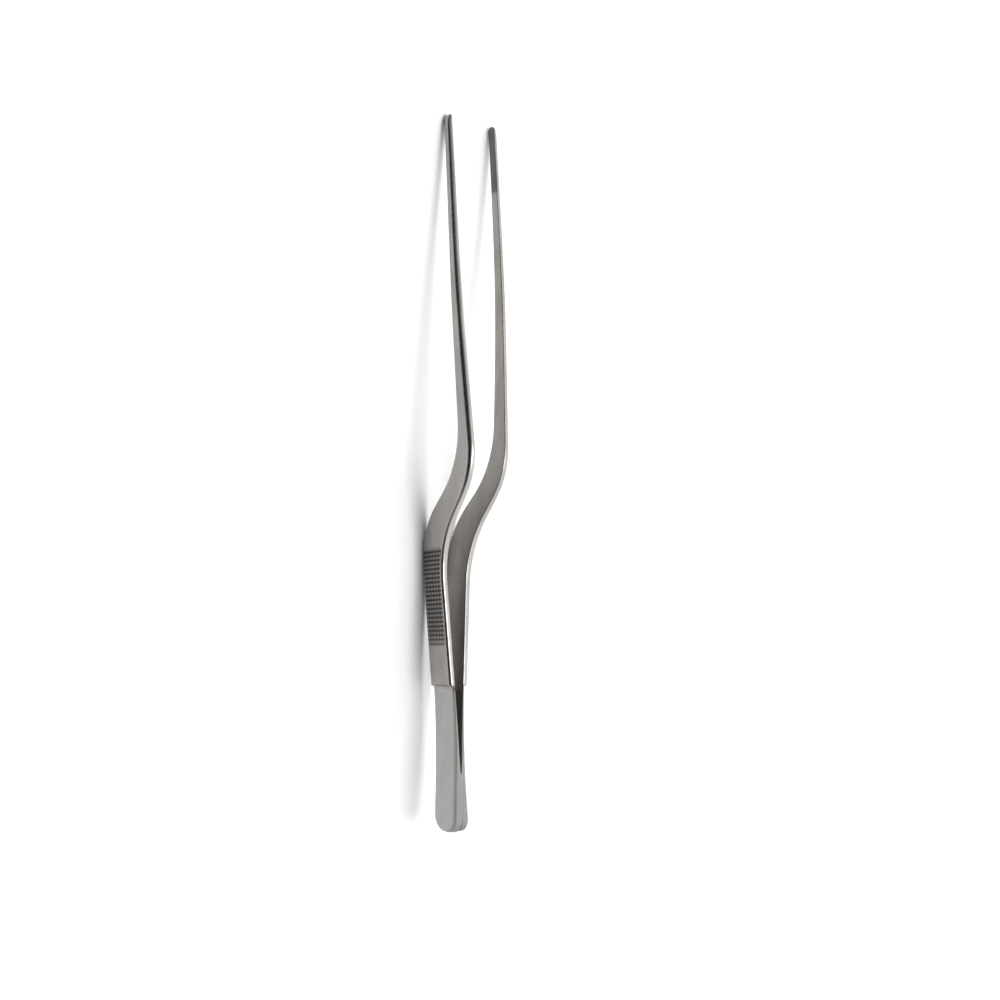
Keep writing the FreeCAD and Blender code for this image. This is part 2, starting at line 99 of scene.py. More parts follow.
# direction of the sections
HEEL_BLEND = 9.0 * MM        # over this length the sections turn square to the leg
HEEL_LEAN_SHARE = 0.35       # how far the heel end leans, as a share of the rows' lean
LEAN_BEFORE_ROWS = (8 * MM, 2 * MM)     # the sections start to lean, and lean as the rows do
LEAN_AFTER_ROWS = 7 * MM     # and are square to the leg again this far past the rows
REACH_ROUNDS = 8             # rounds of the search for an edge along a section

# step, crown and tip of the outer face
HEEL_CORNER = 4.4 * MM
STEP_RAMP = 0.55 * MM
STEP_DIP = 0.35 * MM         # how far the middle of the step line runs towards the tips
STEP_FADE = 1.0 * MM         # the crown and the painted shade on the edges fade out past the step over this length, and the blasted look before it
                             # and the blasted look before it
CROWN = 0.10 * MM            # crown of the leaf's and heel's outer face
NOSE_LENGTH = 3.2 * MM       # the outer face falls to the tip over this length
NOSE_FALL = 0.95 * MM

# rounding of the outer face's edges: reach across the face, and fall towards the inner face
HEEL_TOP = (1.30 * MM, 0.95 * MM)
HEEL_LOW = (1.00 * MM, 0.70 * MM)
LEAF_TOP = (1.50 * MM, 0.60 * MM)
LEAF_LOW = (1.10 * MM, 0.45 * MM)
HANDLE_TOP = (0.95 * MM, 0.90 * MM)
HANDLE_LOW = (0.80 * MM, 0.70 * MM)
ARM_TOP = (2.00 * MM, 1.50 * MM)
ARM_LOW = (0.95 * MM, 0.90 * MM)
TIP_ROUND = (1.90 * MM, 1.10 * MM)
LEAF_FROM = 13.0 * MM
LEAF_TO = 24.0 * MM
HANDLE_FROM = STEP_X - 0.2 * MM
HANDLE_TO = STEP_X + 0.9 * MM
ARM_FROM = 88.0 * MM
ARM_TO = 112.0 * MM
TIP_FROM = 7.0 * MM          # the tip's rounding grows over this length
REACH_MOST = 0.9             # a rounding's largest reach, as a share of half the leg's width
FALL_MOST = 0.8              # and its largest fall, as a share of the leg's thickness

# rounded edge of the flat inner face, left sharp against the weld
EDGE = 0.22 * MM
EDGE_FROM = WELD_LENGTH - 2 * MM
EDGE_TO = WELD_LENGTH + 4 * MM
EDGE_MOST = 0.3              # its largest size, as a share of half the section's width

# painted shade in the grooves and on the edges behind the step
EDGE_SHADE = 0.22             # painted shade on the edges and narrow sides behind the step, as a groove depth
DARK_FROM = 0.4              # the painted shade is full from this share of a groove's depth

# mesh density
COARSE = 0.8 * MM
FINE = 0.1 * MM
BEFORE_STEP = 1.0 * MM       # the fine sections round the step start and end this far from it
AFTER_STEP = 2.0 * MM
ROW_CUTS = 12                # sections to a grip row
CAP_STEPS = 14
FIRST_CAP = 0.3              # the first section's place within the first step of the heel end
FACE_STEPS = 108
ROUND_STEPS = 9
ROUND_LOW_MOST = 0.8         # the roundings' points reach at most this share of half the width
ROUND_TOP_MOST = 0.95
INNER_STEPS = 46
SIDE_STEPS = 2
EDGE_STEPS = 4
LEAST = 0.01 * MM            # smallest width or edge, which keeps points apart
SHARP_ANGLE = math.radians(38)


def smooth_step(start, end, value):
    share = min(max((value - start) / (end - start), 0.0), 1.0)
    return share * share * (3 - 2 * share)


def mix(first, second, share):
    return first + (second - first) * share


def mix_pair(first, second, share):
    return mix(first[0], second[0], share), mix(first[1], second[1], share)


class Curve:
    """A quantity along the leg: evenly spaced values, read in between by straight lines."""

    def __init__(self, start, step, values):
        self.start = start
        self.step = step
        self.values = values

    def at(self, station):
        place = (station - self.start) / self.step
        index = min(max(int(math.floor(place)), 0), len(self.values) - 2)
        return mix(self.values[index], self.values[index + 1], place - index)

    def smoothed(self, width):
        reach = int(3 * width / self.step)
        weights = [math.exp(-0.5 * (k * self.step / width) ** 2) for k in range(-reach, reach + 1)]
        total = sum(weights)
        result = []
        for index in range(len(self.values)):
            place = self.start + index * self.step
            terms = [self.at(place + k * self.step) for k in range(-reach, reach + 1)]
            result.append(sum(w * v for w, v in zip(weights, terms)) / total)
        return Curve(self.start, self.step, result)

    def straightened(self, start, end):
        """The same, with a straight line between two stations."""
        first, last = self.at(start), self.at(end)
        result = list(self.values)
        for index in range(len(result)):
            place = self.start + index * self.step
            if start < place < end:
                result[index] = mix(first, last, (place - start) / (end - start))
        return Curve(self.start, self.step, result)

    def run_on(self, start, end, forwards):
        """The same, with the line through two stations drawn on past the end or the start."""
        slope = (self.at(end) - self.at(start)) / (end - start)
        first = self.at(start)
        result = list(self.values)
        for index in range(len(result)):
            place = self.start + index * self.step
            if (place > end) if forwards else (place < start):
                result[index] = first + slope * (place - start)
        return Curve(self.start, self.step, result)


def leg_rays():
    """A ray tester for the left leg's two CAD solids."""
    points, faces = [], []
    for name in ("left_heel", "left_leg"):
        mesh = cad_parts[name].data
        offset = len(points)
        points += [vertex.co.copy() for vertex in mesh.vertices]
        faces += [[index + offset for index in face.vertices] for face in mesh.polygons]
    return BVHTree.FromPolygons(points, faces)


def read_leg():
    """Low edge, top edge, inner face and outer face along the left leg, read by rays."""
    rays = leg_rays()
    lowest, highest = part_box("left_heel")
    middle = (lowest.z + highest.z) / 2
    outside = LENGTH / 4
    low, top, inner, outer = [], [], [], []
    for index in range(int(LENGTH / SAMPLE)):
        x = HEEL_X + (index + 0.5) * SAMPLE
        near = rays.ray_cast(Vector((x, -outside, middle)), Vector((0, 1, 0)))[0]
        far = rays.ray_cast(Vector((x, outside, middle)), Vector((0, -1, 0)))[0]
        if near and far and far.y - near.y > THIN_METAL:
            depth = mix(near.y, far.y, EDGE_RAY_SHARE)
            below = rays.ray_cast(Vector((x, depth, -outside)), Vector((0, 0, 1)))[0]
            above = rays.ray_cast(Vector((x, depth, outside)), Vector((0, 0, -1)))[0]
        else:
            below = above = None
        if below and above:
            middle = (below.z + above.z) / 2
            found = (below.z, above.z, near.y, far.y)
        else:
            found = (low[-1], top[-1], inner[-1], outer[-1])
        for values, value in zip((low, top, inner, outer), found):
            values.append(value)
    return [Curve(SAMPLE / 2, SAMPLE, values) for values in (low, top, inner, outer)]


class Leg:
    """The left leg's shape: edges and middle in side view, and the two faces in plan view."""

    def __init__(self):
        low, top, inner, outer = read_leg()
        self.low = self.plain_edge(low)
        self.top = self.plain_edge(top)
        self.inner = self.plain_inner(inner)
        outer = outer.straightened(FLEX_X - HAIRLINE_REACH, FLEX_X + HAIRLINE_REACH)
        self.handle = self.plain_handle(outer)
        self.leaf = self.plain_leaf(outer)
        self.centre, self.slope = self.middle_line()
        self.tip_radius = self.half(LENGTH - TIP_WIDTH_AT)

    @staticmethod
    def plain_edge(edge):
        """An edge with its rounded ends replaced by the straight run beside them."""
        edge = edge.run_on(HEEL_EDGES[0], HEEL_EDGES[1], False)
        edge = edge.run_on(LENGTH - TIP_EDGES[0], LENGTH - TIP_EDGES[1], True)
        return edge.smoothed(SMOOTHING)

    @staticmethod
    def plain_inner(inner):
        """The inner face without the hairline and the teeth, drawn straight at the heel end."""
        inner = inner.straightened(FLEX_X - HAIRLINE_REACH, FLEX_X + HAIRLINE_REACH)
        inner = inner.run_on(JAW_X - JAW_INNER[0], JAW_X - JAW_INNER[1], True)
        return inner.smoothed(SMOOTHING).run_on(HEEL_INNER[0], HEEL_INNER[1], False)

    @staticmethod
    def plain_handle(outer):
        """The outer face from the step to the tip without its rows, drawn on past the step."""
        handle = outer.straightened(ROWS_X - ROWS_MARGIN, ROWS_END + ROWS_MARGIN)
        handle = handle.run_on(STEP_X + STEP_HANDLE, ROWS_X - ROWS_HANDLE, False)
        handle = handle.smoothed(SMOOTHING)
        return handle.run_on(LENGTH - TIP_OUTER[0], LENGTH - TIP_OUTER[1], True)

    @staticmethod
    def plain_leaf(outer):
        """The outer face from the heel end to the step, drawn on past the step."""
        leaf = outer.run_on(STEP_X - STEP_LEAF[0], STEP_X - STEP_LEAF[1], True)
        return leaf.smoothed(SMOOTHING).run_on(HEEL_OUTER[0], HEEL_OUTER[1], False)

    def middle_line(self):
        """The line midway between the two edges, and its slope."""
        pairs = zip(self.low.values, self.top.values)
        start, step = self.low.start, self.low.step
        centre = Curve(start, step, [(low + top) / 2 for low, top in pairs])
        slopes = []
        for index in range(len(centre.values)):
            place = start + index * step
            rise = centre.at(place + SAMPLE) - centre.at(place - SAMPLE)
            slopes.append(rise / (2 * SAMPLE))
        return centre, Curve(start, step, slopes).smoothed(3 * SMOOTHING)

    def way(self, station):
        """Direction of the sections' height at a station of the centre line, in side view."""
        lean = math.atan(self.slope.at(station)) * smooth_step(0, HEEL_BLEND, station)
        start, full = LEAN_BEFORE_ROWS
        before = smooth_step(ROWS_X - start, ROWS_X - full, station)
        after = smooth_step(ROWS_END, ROWS_END + LEAN_AFTER_ROWS, station)
        lean = mix(lean, -ROW_LEAN, before * (1 - after))
        return -math.sin(lean), math.cos(lean)

    def reach(self, station, edge, sign):
        """Distance along a section from the centre line to an edge."""
        across, upright = self.way(station)
        height = self.centre.at(station)
        guess = abs(edge.at(station) - height)
        for _ in range(REACH_ROUNDS):
            wanted = edge.at(station + sign * across * guess)
            guess = sign * (wanted - height) / upright
        return guess

    def half(self, station):
        """Half the leg's width along a section."""
        return (self.reach(station, self.top, 1) + self.reach(station, self.low, -1)) / 2

    def end_distance(self, station):
        """Distance from the nearer end, and that end's corner radius."""
        from_tip = LENGTH - station
        if station < from_tip:
            return station, HEEL_CORNER
        return from_tip, self.tip_radius

    def outer(self, station, height):
        """The outer face: leaf, step and handle. height runs from -1 at the low edge to 1."""
        lean = math.tan(ROW_LEAN) * height * self.half(STEP_X)
        foot = STEP_X + lean + STEP_DIP * (0.5 - height * height)
        share = smooth_step(foot, foot + STEP_RAMP, station)
        into_nose = max((station - LENGTH + NOSE_LENGTH) / NOSE_LENGTH, 0.0)
        nose = NOSE_FALL * (1 - math.sqrt(max(1 - into_nose ** 2, 0.0)))
        return mix(self.leaf.at(station), self.handle.at(station), share) - nose

    @staticmethod
    def rounding(station, height):
        """Reach and fall of the outer edge's rounding. height runs from -1 to 1."""
        upper = (height + 1) / 2
        heel = mix_pair(HEEL_LOW, HEEL_TOP, upper)
        leaf = mix_pair(LEAF_LOW, LEAF_TOP, upper)
        handle = mix_pair(HANDLE_LOW, HANDLE_TOP, upper)
        arm = mix_pair(ARM_LOW, ARM_TOP, upper)
        front = mix_pair(handle, arm, smooth_step(ARM_FROM, ARM_TO, station))
        front = mix_pair(front, TIP_ROUND, smooth_step(LENGTH - TIP_FROM, LENGTH, station))
        back = mix_pair(heel, leaf, smooth_step(LEAF_FROM, LEAF_TO, station))
        return mix_pair(back, front, smooth_step(HANDLE_FROM, HANDLE_TO, station))


def groove(distance, half_width):
    """Depth share of a groove at a distance from its middle, from 1 down to 0."""
    if abs(distance) >= half_width:
        return 0.0
    return 1 - abs(distance) / half_width


def row_relief(station, height, distance, reach):
    """Depth of the grip rows and their slanting nicks at a point of the outer face.

    distance is the point's own from the outline, and reach that of the edge's rounding.
    """
    place = station - (ROWS_X - ROW_STEP / 2)
    if not 0 < place < ROW_COUNT * ROW_STEP:
        return 0.0
    row = int(place / ROW_STEP)
    offset = place - (row + 0.5) * ROW_STEP
    wear = mix(FAINTEST, 1.0, smooth_step(-1, FAINT_ROWS, row))
    depth = ROW_DEPTH * groove(offset, ROW_HALF)
    nick = (height - offset / math.tan(NICK_LEAN)) / NICK_PITCH
    nick = (nick - math.floor(nick) - 0.5) * NICK_PITCH
    cut = NICK_DEPTH * groove(nick, NICK_HALF)
    start, full = ROW_FADE
    return max(depth, cut) * wear * smooth_step(start * reach, full * reach, distance)


def jaw_relief(x, z):
    """Depth of the slanting jaw teeth at a point of the inner face."""
    root = TIP_X - JAW_LENGTH
    if x < root - TOOTH_PITCH:
        return 0.0
    place = (x - root) * math.cos(TOOTH_LEAN) - z * math.sin(TOOTH_LEAN)
    phase = place / TOOTH_PITCH
    ridge = groove(phase - math.floor(phase) - 0.5, TOOTH_SHARE / 2)
    return TOOTH_DEPTH * ridge * smooth_step(root - TOOTH_PITCH, root + TOOTH_PITCH, x)


def evenly(start, end, count):
    """Equal steps from start up to the one before end."""
    return [mix(start, end, k / count) for k in range(count)]


def stations(leg):
    """Where the sections stand, from heel end to tip."""
    result = []
    for step in range(CAP_STEPS):
        angle = math.pi / 2 * (step + FIRST_CAP) / CAP_STEPS
        result.append(HEEL_CORNER * (1 - math.cos(angle)))
    marks = [HEEL_CORNER, STEP_X - BEFORE_STEP, STEP_X + AFTER_STEP, ROWS_X - ROW_STEP / 2]
    for start, end, step in zip(marks, marks[1:], (COARSE, FINE, COARSE)):
        result += evenly(start, end, max(int(round((end - start) / step)), 1))
    half_cuts = ROW_CUTS // 2
    for row in range(ROW_COUNT):
        middle = ROWS_X + row * ROW_STEP
        result += [middle + cut / ROW_CUTS * ROW_STEP for cut in range(-half_cuts, half_cuts)]
    jaw = JAW_X - TOOTH_PITCH
    tip = LENGTH - leg.tip_radius
    result += evenly(ROWS_END, jaw, int(round((jaw - ROWS_END) / COARSE)))
    result += evenly(jaw, tip, int(round((tip - jaw) / FINE)))
    for step in range(CAP_STEPS):
        angle = math.pi / 2 * step / CAP_STEPS
        result.append(LENGTH - leg.tip_radius * (1 - math.sin(angle)))
    return result


def face_heights(width, low_reach, top_reach):
    """Places across the outer face from the low edge up, closer together on the roundings."""
    result = []
    for step in range(ROUND_STEPS):
        angle = math.pi / 2 * step / ROUND_STEPS
        result.append(low_reach * (1 - math.cos(angle)) - width)
    start, end = low_reach - width, width - top_reach
    count = FACE_STEPS - 2 * ROUND_STEPS
    result += [mix(start, end, step / count) for step in range(count + 1)]
    for step in range(1, ROUND_STEPS + 1):
        angle = math.pi / 2 * step / ROUND_STEPS
        result.append(end + top_reach * math.sin(angle))
    return result


def edge_distance(along, height, width, corner):
    """Distance from the leg's outline, in side view, for a point near a rounded end."""
    if along < corner and abs(height) > width - corner:
        return corner - math.hypot(corner - along, abs(height) - (width - corner))
    return min(along, width - abs(height))


class Section:
    """One closed ring round the left leg. A height is a distance up from its middle.

    Each point comes with its share of painted shade, from 0 to 1: its depth in a groove,
    plus painted shade on the edges behind the step.
    """

    def __init__(self, leg, station):
        self.leg = leg
        self.station = station
        self.along, corner = leg.end_distance(station)
        self.half = leg.half(station)
        self.corner = min(corner, self.half)
        shrink = 0.0
        if self.along < self.corner:
            left = self.corner - self.along
            shrink = self.corner - math.sqrt(max(self.corner * self.corner - left ** 2, 0.0))
        self.width = max(self.half - shrink, LEAST)
        top = leg.reach(station, leg.top, 1)
        low = leg.reach(station, leg.low, -1)
        self.middle = (top - low) / 2
        self.across, self.upright = leg.way(station)
        self.centre = leg.centre.at(station)
        self.behind_step = 1 - smooth_step(STEP_X, STEP_X + STEP_FADE, station)
        # painted shade on the edges and narrow sides behind the step
        self.edge_shade = EDGE_SHADE * self.behind_step
        edge = EDGE * smooth_step(EDGE_FROM, EDGE_TO, station) + LEAST
        self.edge = min(edge, EDGE_MOST * self.width)

    def place(self, height):
        """Station and Z of a height."""
        x = self.station + self.across * (height + self.middle)
        lean = math.tan(ROW_LEAN) * (height + self.half)
        lean *= 1 - smooth_step(0, HEEL_BLEND, self.station)
        x += HEEL_LEAN_SHARE * lean
        return x, self.centre + self.upright * (height + self.middle)

    def outer_point(self, height):
        x, z = self.place(height)
        share = height / self.half
        reach, fall = self.leg.rounding(self.station, share)
        reach = min(reach, REACH_MOST * self.half)
        distance = max(edge_distance(self.along, height, self.half, self.corner), 0.0)
        face = self.leg.outer(x, share)
        fall = min(fall, FALL_MOST * (face - self.leg.inner.at(x)))
        drop = 0.0
        if distance < reach:
            drop = fall * (1 - math.sqrt(max(1 - (1 - distance / reach) ** 2, 0.0)))
        crown = CROWN * share * share * self.behind_step
        relief = row_relief(self.station, height, distance, reach)
        # painted shade: deep in the rows and nicks, and on the edge's rounding behind the step
        tone = relief / ROW_DEPTH + self.edge_shade * drop / fall
        return Vector((HEEL_X + x, face - drop - crown - relief, z)), tone

    def inner_point(self, height):
        x, z = self.place(height)
        relief = jaw_relief(HEEL_X + x, z)
        # the teeth's grooves get painted shade as deep as they are
        return Vector((HEEL_X + x, self.leg.inner.at(x) + relief, z)), relief / TOOTH_DEPTH

    def edge_point(self, sign, step):
        """A point of the inner face's rounded edge, at the top for sign 1, below for -1."""
        angle = math.pi / 2 * step / EDGE_STEPS
        rise = self.edge * (1 - math.sin(angle))
        x, z = self.place(sign * (self.width - self.edge * (1 - math.cos(angle))))
        relief = jaw_relief(HEEL_X + x, z)
        depth = self.leg.inner.at(x) + max(rise, relief)
        # painted shade in the teeth's grooves and on the edge behind the step
        return Vector((HEEL_X + x, depth, z)), relief / TOOTH_DEPTH + self.edge_shade

    def side(self, start, end):
        """The points of a narrow side between two points of its edges."""
        shares = [step / SIDE_STEPS for step in range(1, SIDE_STEPS)]
        # painted shade on the narrow sides behind the step
        return [(start.lerp(end, share), self.edge_shade) for share in shares]

    def ring(self):
        """Outer face upwards, top side, inner face downwards, low side."""
        low_reach = min(self.leg.rounding(self.station, -1)[0], ROUND_LOW_MOST * self.width)
        top_reach = min(self.leg.rounding(self.station, 1)[0], ROUND_TOP_MOST * self.width)
        heights = face_heights(self.width, low_reach, top_reach)
        outer = [self.outer_point(height) for height in heights]
        top_edge = [self.edge_point(1, step) for step in range(EDGE_STEPS)]
        low_edge = [self.edge_point(-1, step) for step in reversed(range(EDGE_STEPS))]
        span = self.width - self.edge
        shares = [step / INNER_STEPS for step in range(INNER_STEPS + 1)]
        inner = [self.inner_point(mix(span, -span, share)) for share in shares]
        top_side = self.side(outer[-1][0], top_edge[0][0])
        low_side = self.side(low_edge[-1][0], outer[0][0])
        return outer + top_side + top_edge + inner + low_edge + low_side


def skin_faces(ring_count, count, side):
    """Faces between neighbouring rings and then the two end caps, all turned outwards."""
    faces = []
    for row in range(ring_count - 1):
        first, second = row * count, (row + 1) * count
        for column in range(count):
            following = (column + 1) % count
            face = [first + column, first + following, second + following, second + column]
            faces.append(face)
    last = (ring_count - 1) * count
    faces.append(list(reversed(range(count))))
    faces.append([last + column for column in range(count)])
    if side < 0:
        return faces
    return [face[::-1] for face in faces]


def leg_mesh(name, leg, side):
    """The skin of one leg; side is 1 for the left leg and -1 for its mirror image."""
    rings = [Section(leg, station).ring() for station in stations(leg)]
    count = len(rings[0])
    points = [Vector((p.x, p.y * side, p.z)) for ring in rings for p, _ in ring]
    # painted shade at each point, full from DARK_FROM of a groove's depth
    shade_shares = [min(depth / DARK_FROM, 1.0) for ring in rings for _, depth in ring]
    faces = skin_faces(len(rings), count, side)
    mesh = bpy.data.meshes.new(name)
    mesh.from_pydata(points, [], faces)
    inner_start = FACE_STEPS + SIDE_STEPS + EDGE_STEPS
    slots = [int(inner_start <= number % count < inner_start + INNER_STEPS)
             for number in range(len(faces) - 2)]
    mesh.polygons.foreach_set("material_index", slots + [0, 0])
    # the painted shade is stored on the mesh for the material
    painted_shade = mesh.attributes.new("painted_shade", "FLOAT", "POINT")
    painted_shade.data.foreach_set("value", shade_shares)
    mesh.update()
    mesh.shade_smooth()
    mesh.set_sharp_from_angle(angle=SHARP_ANGLE)
    piece = bpy.data.objects.new(name, mesh)
    bpy.context.scene.collection.objects.link(piece)
    return piece


# materials

OUTER_DARK = (0.268, 0.256, 0.244, 1)
OUTER_LIGHT = (0.340, 0.327, 0.314, 1)
BLASTED_DARK = (0.510, 0.503, 0.493, 1)
BLASTED_LIGHT = (0.580, 0.574, 0.565, 1)
INNER_DARK = (0.262, 0.247, 0.231, 1)
INNER_LIGHT = (0.336, 0.319, 0.301, 1)
# colour of the painted shade in the grooves and on the edges behind the step
SHADE_COLOUR = (0.062, 0.058, 0.054, 1)
WELD_DARK = (0.25, 0.246, 0.24, 1)
WELD_LIGHT = (0.31, 0.306, 0.30, 1)
FLOOR_DARK = (0.90, 0.90, 0.90, 1)
FLOOR_LIGHT = (0.92, 0.92, 0.92, 1)

OUTER_ROUGHNESS = 0.24       # of the smoothest places
INNER_ROUGHNESS = 0.38
GRAIN_ROUGHER = 0.10         # added where the grain is strongest
BLASTED_ROUGHER = 0.42       # added behind the step
WELD_ROUGHNESS = (0.62, 0.74)
FLOOR_ROUGHNESS = 0.9

# noise, in waves per metre along X, Y and Z, and the range that its values mostly keep to
GRAIN = (160, 5200, 5200)
FINE_GRAIN = (420, 14000, 14000)
CLOUDS = (90, 240, 240)
WELD_RIPPLE = (1500, 1500, 1500)
FLOOR_MOTTLE = 12.0
NOISE_RANGE = (0.3, 0.7)

# relief of the grain
BUMP_STRENGTH = 0.12
BUMP_DISTANCE = 0.00004


def new_material(name):
    material = bpy.data.materials.new(name)
    material.use_nodes = True
    nodes = material.node_tree.nodes
    return material, nodes, material.node_tree.links, nodes["Principled BSDF"]


def noise(nodes, links, coordinates, scale, stretch, detail):
    """Noise stretched differently along X, Y and Z."""
    mapping = nodes.new("ShaderNodeMapping")
    mapping.inputs["Scale"].default_value = stretch
    links.new(coordinates, mapping.inputs["Vector"])
    texture = nodes.new("ShaderNodeTexNoise")
    texture.inputs["Scale"].default_value = scale
    texture.inputs["Detail"].default_value = detail
    links.new(mapping.outputs["Vector"], texture.inputs["Vector"])
    return texture.outputs["Fac"]


def ramp(nodes, links, value, low, high, start=NOISE_RANGE[0], end=NOISE_RANGE[1]):
    """Spread a value that runs from start to end between two numbers."""
    spread = nodes.new("ShaderNodeMapRange")
    spread.inputs["From Min"].default_value = start
    spread.inputs["From Max"].default_value = end
    spread.inputs["To Min"].default_value = low
    spread.inputs["To Max"].default_value = high
    links.new(value, spread.inputs["Value"])
    return spread.outputs["Result"]


def blend_colours(nodes, links, share, first, second):
    """Mix two colours; each may also be another node's output."""
    tone = nodes.new("ShaderNodeMix")
    tone.data_type = "RGBA"
    colours = [socket for socket in tone.inputs if socket.type == "RGBA"]
    for socket, colour in zip(colours, (first, second)):
        if isinstance(colour, tuple):
            socket.default_value = colour
        else:
            links.new(colour, socket)
    links.new(share, tone.inputs["Factor"])
    return [socket for socket in tone.outputs if socket.type == "RGBA"][0]


def brushed_steel(name, dark, light, blasted_dark, blasted_light, smoothest):
    """Stainless steel, brushed along the legs, faintly cloudy, blasted matt behind the step."""
    material, nodes, links, shader = new_material(name)
    coordinates = nodes.new("ShaderNodeTexCoord").outputs["Object"]
    grain = noise(nodes, links, coordinates, 1.0, GRAIN, 3)
    fine_grain = noise(nodes, links, coordinates, 1.0, FINE_GRAIN, 2)
    clouds = ramp(nodes, links, noise(nodes, links, coordinates, 1.0, CLOUDS, 3), 0, 1)
    place = nodes.new("ShaderNodeSeparateXYZ")
    links.new(coordinates, place.inputs["Vector"])
    step = HEEL_X + STEP_X
    blasted = ramp(nodes, links, place.outputs["X"], 1, 0, step - STEP_FADE, step)
    front_tone = blend_colours(nodes, links, clouds, dark, light)
    back_tone = blend_colours(nodes, links, clouds, blasted_dark, blasted_light)
    tone = blend_colours(nodes, links, blasted, front_tone, back_tone)
    # painted shade: darker base colour in the grooves and on the edges behind the step
    depth = nodes.new("ShaderNodeAttribute")
    depth.attribute_name = "painted_shade"
    shaded_tone = blend_colours(nodes, links, depth.outputs["Fac"], tone, SHADE_COLOUR)
    links.new(shaded_tone, shader.inputs["Base Color"])
    rough = nodes.new("ShaderNodeMath")
    rough.operation = "MULTIPLY_ADD"
    links.new(blasted, rough.inputs[0])
    rough.inputs[1].default_value = BLASTED_ROUGHER
    brushed = ramp(nodes, links, grain, smoothest, smoothest + GRAIN_ROUGHER)
    links.new(brushed, rough.inputs[2])
    links.new(rough.outputs["Value"], shader.inputs["Roughness"])
    shader.inputs["Metallic"].default_value = 1.0
    relief = nodes.new("ShaderNodeMath")
    relief.operation = "ADD"
    links.new(grain, relief.inputs[0])
    links.new(fine_grain, relief.inputs[1])
    bump = nodes.new("ShaderNodeBump")
    bump.inputs["Strength"].default_value = BUMP_STRENGTH
    bump.inputs["Distance"].default_value = BUMP_DISTANCE
    links.new(relief.outputs["Value"], bump.inputs["Height"])
    links.new(bump.outputs["Normal"], shader.inputs["Normal"])
    return material


def weld_metal():
    """The weld between the heel ends: darker than the blasted steel, and about as rough."""
    material, nodes, links, shader = new_material("weld_metal")
    coordinates = nodes.new("ShaderNodeTexCoord").outputs["Object"]
    ripple = noise(nodes, links, coordinates, 1.0, WELD_RIPPLE, 3)
    tone = blend_colours(nodes, links, ripple, WELD_DARK, WELD_LIGHT)
    links.new(tone, shader.inputs["Base Color"])
    roughness = ramp(nodes, links, ripple, WELD_ROUGHNESS[0], WELD_ROUGHNESS[1])
    links.new(roughness, shader.inputs["Roughness"])
    shader.inputs["Metallic"].default_value = 1.0
    return material


def pale_floor():
    """A white surface with a faint mottle."""
    material, nodes, links, shader = new_material("pale_floor")
    coordinates = nodes.new("ShaderNodeTexCoord").outputs["Object"]
    mottle = noise(nodes, links, coordinates, FLOOR_MOTTLE, (1, 1, 1), 2)
    tone = blend_colours(nodes, links, mottle, FLOOR_DARK, FLOOR_LIGHT)
    links.new(tone, shader.inputs["Base Color"])
    shader.inputs["Roughness"].default_value = FLOOR_ROUGHNESS
    return material


# the two legs and the weld

satin = brushed_steel("satin_steel", OUTER_DARK, OUTER_LIGHT, BLASTED_DARK, BLASTED_LIGHT,
                      OUTER_ROUGHNESS)
ground = brushed_steel("ground_steel", INNER_DARK, INNER_LIGHT, INNER_DARK, INNER_LIGHT,
                       INNER_ROUGHNESS)
leg = Leg()
for side, name in ((1, "left"), (-1, "right")):
    skin = leg_mesh(f"{name}_leg_skin", leg, side)
    skin.data.materials.append(satin)
    skin.data.materials.append(ground)
    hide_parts(f"{name}_heel", f"{name}_leg")
    height = leg.centre.at(FLEX_X)
    depth = side * leg.inner.at(FLEX_X)
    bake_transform(skin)

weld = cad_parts["heel_weld"]
weld_material = weld_metal()
for slot in weld.material_slots:
    slot.material = weld_material

# floor, light and camera

FLOOR_SIZE = 3.0
LAMP_PLACE = (0.0, -0.15, 0.90)
LAMP_TARGET = (0, 0, 0)
LAMP_SIZE = 0.32
LAMP_POWER = 3.6

# the room: direction, the angles from it where the change starts and ends, and brightness at each
WINDOW_SIDE = ((-0.35, -1, 0.85), 75, 38, 0.44, 1.8)
DARK_SIDE = ((0, 1, 0.50), 54, 36, 1.0, 0.05)

# the camera stands over the near leg's side, with the tips up in the picture
CAMERA_AZIMUTH = math.radians(0.107)
CAMERA_ELEVATION = math.radians(52.079)
CAMERA_ROLL = math.radians(4.017)
CAMERA_DISTANCE = 0.3452
CAMERA_AIM = Vector((-0.00761, -0.01337, 0.010))
FOCAL_RATIO = 1.2026         # focal length as a share of the sensor's width
SENSOR_WIDTH = 36
NEAREST = 0.01               # nothing nearer the camera than this is drawn

floor_mesh = bpy.data.meshes.new("floor")
corner = FLOOR_SIZE / 2
floor_mesh.from_pydata([(-corner, -corner, 0), (corner, -corner, 0), (corner, corner, 0),
                        (-corner, corner, 0)], [], [(0, 1, 2, 3)])
floor = bpy.data.objects.new("floor", floor_mesh)
bpy.context.scene.collection.objects.link(floor)
floor_mesh.materials.append(pale_floor())


def overhead_lamp():
    """A soft square lamp above, a little to the far side."""
    light = bpy.data.lights.new("overhead", "AREA")
    light.shape = "RECTANGLE"
    light.size = LAMP_SIZE
    light.size_y = LAMP_SIZE
    light.energy = LAMP_POWER
    lamp = bpy.data.objects.new("overhead", light)
    bpy.context.scene.collection.objects.link(lamp)
    lamp.location = LAMP_PLACE
    aim = Vector(LAMP_TARGET) - Vector(LAMP_PLACE)
    lamp.rotation_euler = aim.to_track_quat("-Z", "Y").to_euler()


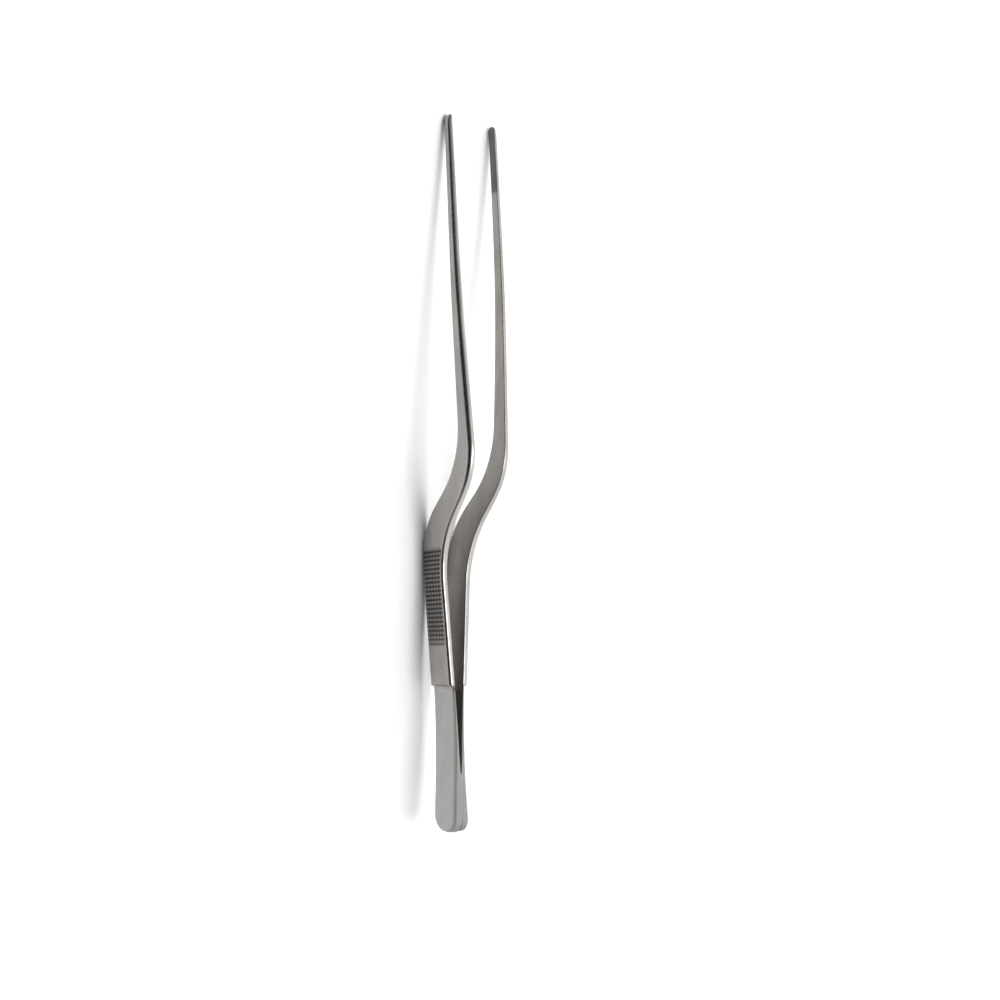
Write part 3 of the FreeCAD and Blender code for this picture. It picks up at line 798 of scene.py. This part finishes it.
def toward(nodes, links, heading, direction, start, end, low, high):
    """World brightness that changes from low to high as the view turns towards a direction."""
    along = nodes.new("ShaderNodeVectorMath")
    along.operation = "DOT_PRODUCT"
    along.inputs[1].default_value = Vector(direction).normalized()
    links.new(heading, along.inputs[0])
    spread = nodes.new("ShaderNodeMapRange")
    spread.interpolation_type = "SMOOTHSTEP"
    spread.inputs["From Min"].default_value = math.cos(math.radians(start))
    spread.inputs["From Max"].default_value = math.cos(math.radians(end))
    spread.inputs["To Min"].default_value = low
    spread.inputs["To Max"].default_value = high
    links.new(along.outputs["Value"], spread.inputs["Value"])
    return spread.outputs["Result"]


def pale_room():
    """A pale room: brighter on the window side, dark where the photographer stands."""
    world = bpy.data.worlds.new("studio")
    bpy.context.scene.world = world
    world.use_nodes = True
    nodes, links = world.node_tree.nodes, world.node_tree.links
    sky = nodes["Background"]
    sky.inputs["Color"].default_value = (1, 1, 1, 1)
    heading = nodes.new("ShaderNodeTexCoord").outputs["Generated"]
    window_side = toward(nodes, links, heading, *WINDOW_SIDE)
    dark_side = toward(nodes, links, heading, *DARK_SIDE)
    glow = nodes.new("ShaderNodeMath")
    glow.operation = "MULTIPLY"
    links.new(window_side, glow.inputs[0])
    links.new(dark_side, glow.inputs[1])
    links.new(glow.outputs["Value"], sky.inputs["Strength"])


def photo_camera():
    """The camera, from its aim point, distance and angles."""
    data = bpy.data.cameras.new("camera")
    data.sensor_width = SENSOR_WIDTH
    data.lens = SENSOR_WIDTH * FOCAL_RATIO
    data.clip_start = NEAREST
    camera = bpy.data.objects.new("camera", data)
    bpy.context.scene.collection.objects.link(camera)
    forward = -Vector((math.sin(CAMERA_AZIMUTH) * math.cos(CAMERA_ELEVATION),
                       math.cos(CAMERA_AZIMUTH) * math.cos(CAMERA_ELEVATION),
                       math.sin(CAMERA_ELEVATION)))
    up = Vector((1, 0, 0))
    up = (up - forward * up.dot(forward)).normalized()
    right = forward.cross(up)
    turned_right = right * math.cos(CAMERA_ROLL) + up * math.sin(CAMERA_ROLL)
    turned_up = up * math.cos(CAMERA_ROLL) - right * math.sin(CAMERA_ROLL)
    axes = Matrix((turned_right, turned_up, -forward)).transposed()
    place = Matrix.Translation(CAMERA_AIM - forward * CAMERA_DISTANCE)
    camera.matrix_world = place @ axes.to_4x4()
    bpy.context.scene.camera = camera


overhead_lamp()
bpy.context.scene.view_settings.view_transform = "Standard"
pale_room()
photo_camera()
